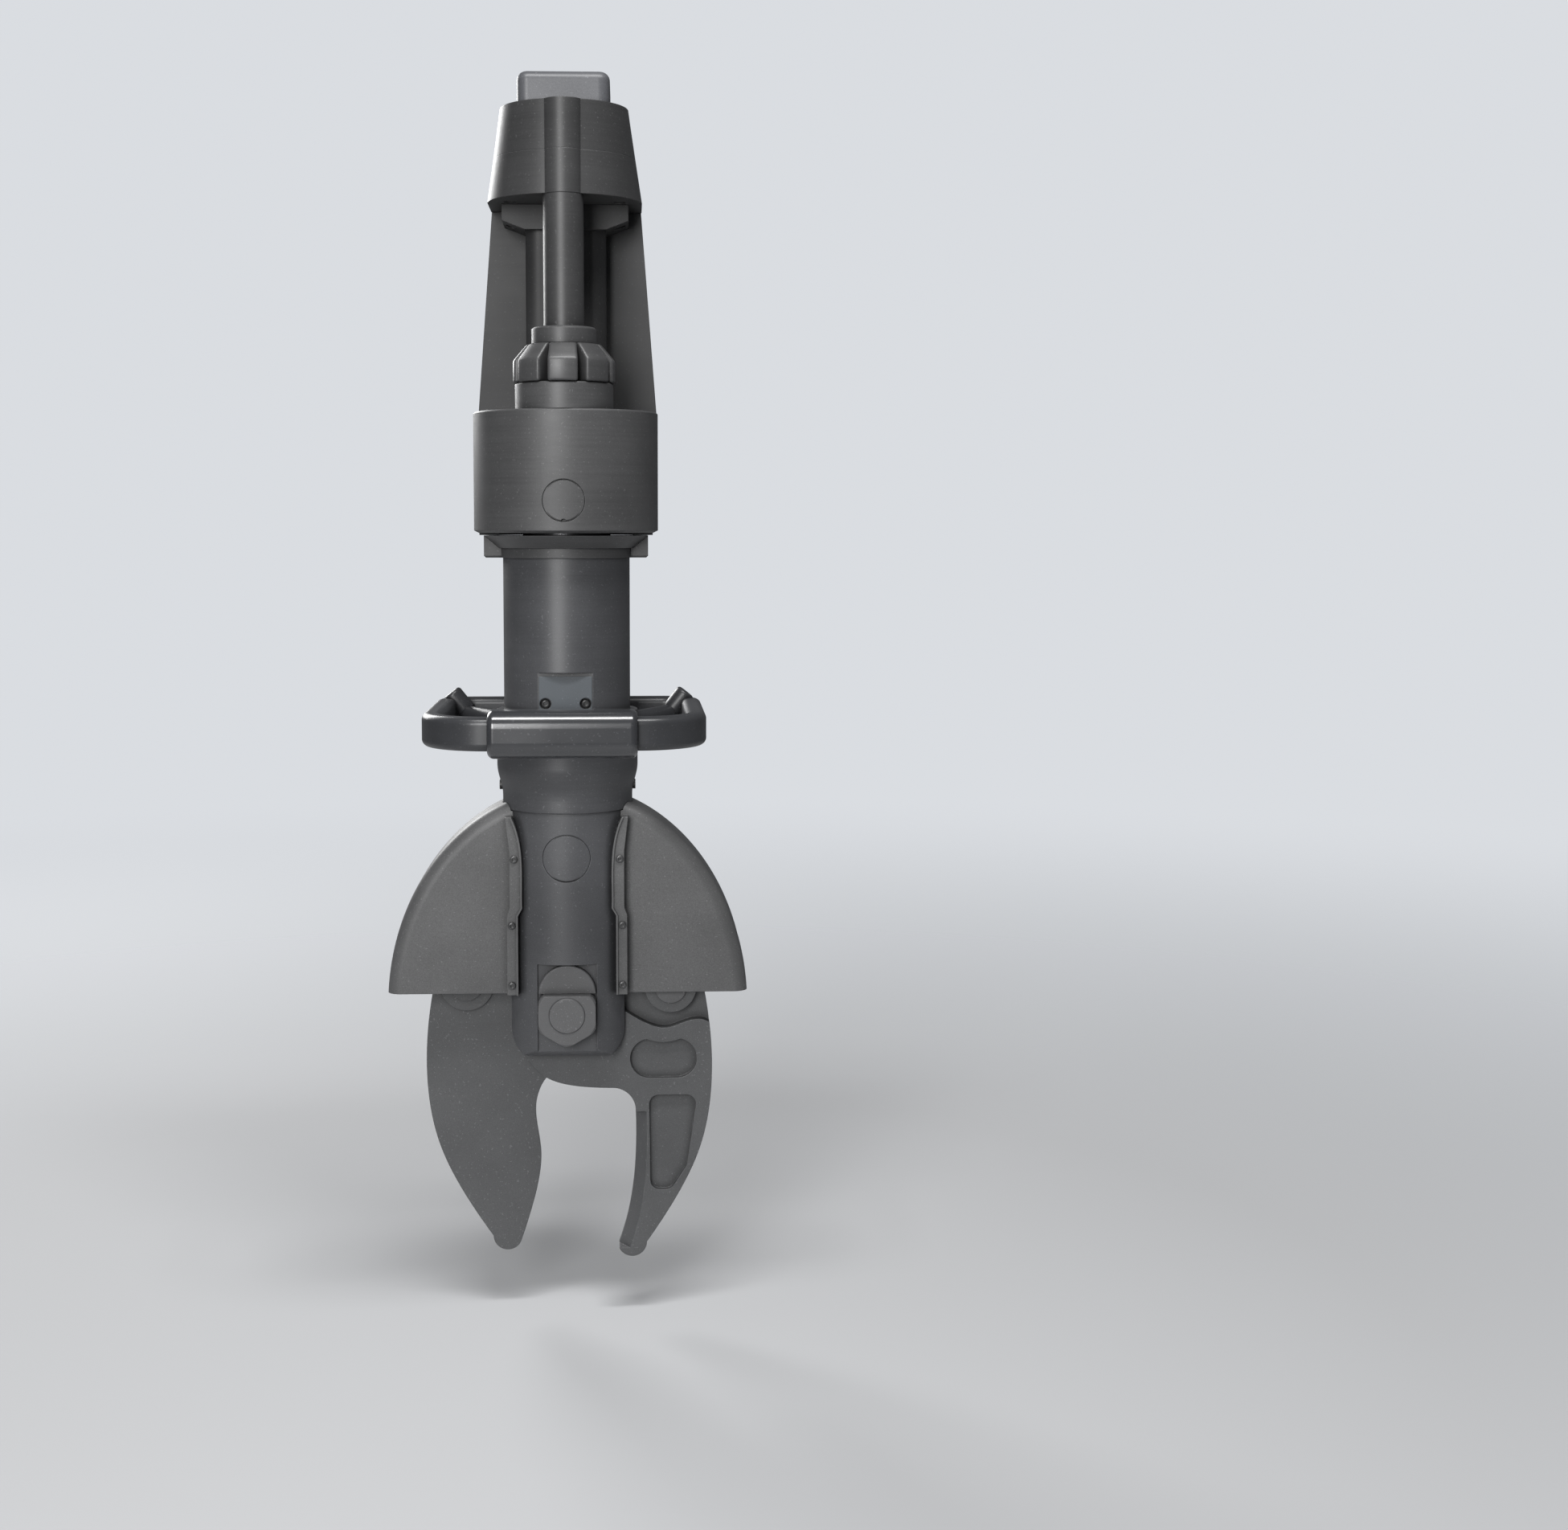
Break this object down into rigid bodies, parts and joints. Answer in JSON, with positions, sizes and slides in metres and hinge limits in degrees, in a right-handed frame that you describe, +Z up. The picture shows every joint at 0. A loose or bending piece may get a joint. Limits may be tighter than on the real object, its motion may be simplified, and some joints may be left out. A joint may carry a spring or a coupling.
{
  "type": "hydraulic rescue cutter",
  "caption": "Battery-powered hydraulic rescue cutter with a star control grip, motor housing, ring handle, guarded yoke and two curved pivoting blades.",
  "frame": {"origin": "centre of the flat rest face on the tool's back, half way up the grip", "axes": "+X to the right seen from the front, +Y out of the flat back, +Z up along the tool towards the battery; the blades point down"},
  "size_m": [0.2934, 0.2195, 0.964],
  "materials": {
    "case_plastic": "printed, matte",
    "painted_alloy": "matte coating",
    "blade_steel": "phosphated, satin",
    "steel": "satin",
    "rubber": "smooth",
    "board": "solder mask",
    "brass": "plain",
    "copper_winding": "lacquered"
  },
  "bodies": {
    "housing": {"battery_contacts": "brass", "bell_collar": "painted_alloy", "collar_screws": "steel", "control_board": "board", "cylinder_barrel": "painted_alloy", "front_grip": "rubber", "grip_collar": "case_plastic", "grip_tube": "case_plastic", "guard_left": "case_plastic", "guard_right": "case_plastic", "guard_screws": "steel", "handle_hub": "painted_alloy", "handle_ring": "painted_alloy", "handle_screws": "steel", "handle_struts": "painted_alloy", "head_lower_shell": "case_plastic", "head_screws": "steel", "head_upper_shell": "case_plastic", "housing_flange": "painted_alloy", "housing_plug": "case_plastic", "label_plate": "case_plastic", "label_screws": "steel", "latch_spring": "steel", "motor_bearings": "steel", "motor_housing": "case_plastic", "motor_stator": "copper_winding", "nut_lock_plate": "steel", "oil_bladder": "rubber", "pivot_bolt": "steel", "pivot_nut": "steel", "pump_block": "painted_alloy", "pump_plungers": "steel", "rear_column": "case_plastic", "rear_spine": "case_plastic", "return_spring": "steel", "rod_gland": "steel", "spine_screws": "steel", "star_base_ring": "case_plastic", "strap_studs": "painted_alloy", "thrust_washers": "brass", "valve_body": "painted_alloy", "yoke_body": "painted_alloy", "yoke_plug": "case_plastic"},
    "battery": {"battery_pack": "case_plastic"},
    "latch": {"battery_latch": "case_plastic"},
    "star": {"star_grip": "case_plastic", "control_spindle": "steel"},
    "rotor": {"motor_rotor": "painted_alloy", "wobble_plate": "steel"},
    "ram": {"piston": "steel", "piston_seal": "rubber", "piston_rod": "steel", "crosshead": "steel", "crosshead_pins": "steel"},
    "right_blade": {"blade_right": "blade_steel", "link_pin_right": "steel"},
    "left_blade": {"blade_left": "blade_steel", "link_pin_left": "steel"},
    "right_link": {"link_right": "blade_steel"},
    "left_link": {"link_left": "blade_steel"}
  },
  "joints": [
    {"name": "blade_right_swing", "type": "hinge", "parent": "housing", "child": "right_blade", "pos_m": [0, -0.086, -0.5675], "axis": [0, 1, 0], "range_deg": [-14, 18]},
    {"name": "blade_left_swing", "type": "hinge", "parent": "housing", "child": "left_blade", "pos_m": [0, -0.066, -0.5675], "axis": [0, -1, 0], "range_deg": [-14, 18]},
    {"name": "ram_slide", "type": "slide", "parent": "housing", "child": "ram", "axis": [0, 0, -1], "range_m": [-0.0228, 0.0293]},
    {"name": "link_right_swing", "type": "hinge", "parent": "right_blade", "child": "right_link", "pos_m": [0.084, -0.091, -0.5535], "axis": [0, 1, 0], "range_deg": [-20.7, 16.1]},
    {"name": "link_left_swing", "type": "hinge", "parent": "left_blade", "child": "left_link", "pos_m": [-0.084, -0.061, -0.5535], "axis": [0, -1, 0], "range_deg": [-20.7, 16.1]},
    {"name": "star_turn", "type": "hinge", "parent": "housing", "child": "star", "pos_m": [0, -0.111, -0.0475], "axis": [0, 0, 1], "range_deg": [-30, 30], "stiffness_Nm_per_rad": 0.6},
    {"name": "motor_spin", "type": "hinge", "parent": "housing", "child": "rotor", "pos_m": [0, -0.062, -0.1375], "axis": [0, 0, 1], "continuous": true},
    {"name": "battery_lift", "type": "slide", "parent": "housing", "child": "battery", "axis": [0, 0, 1], "range_m": [0, 0.11]},
    {"name": "latch_press", "type": "slide", "parent": "housing", "child": "latch", "axis": [0, 0, -1], "range_m": [0, 0.0022], "stiffness_N_per_m": 600, "springref_m": -0.002, "deforming": ["latch_spring"]}
  ],
  "couplings": [
    {"joint": "blade_left_swing", "follows": "blade_right_swing", "ratio": 1},
    {"joint": "ram_slide", "follows": "blade_right_swing", "m_per_rad": 0.093},
    {"joint": "link_right_swing", "follows": "blade_right_swing", "ratio": -1.1445},
    {"joint": "link_left_swing", "follows": "blade_right_swing", "ratio": -1.1445}
  ]
}
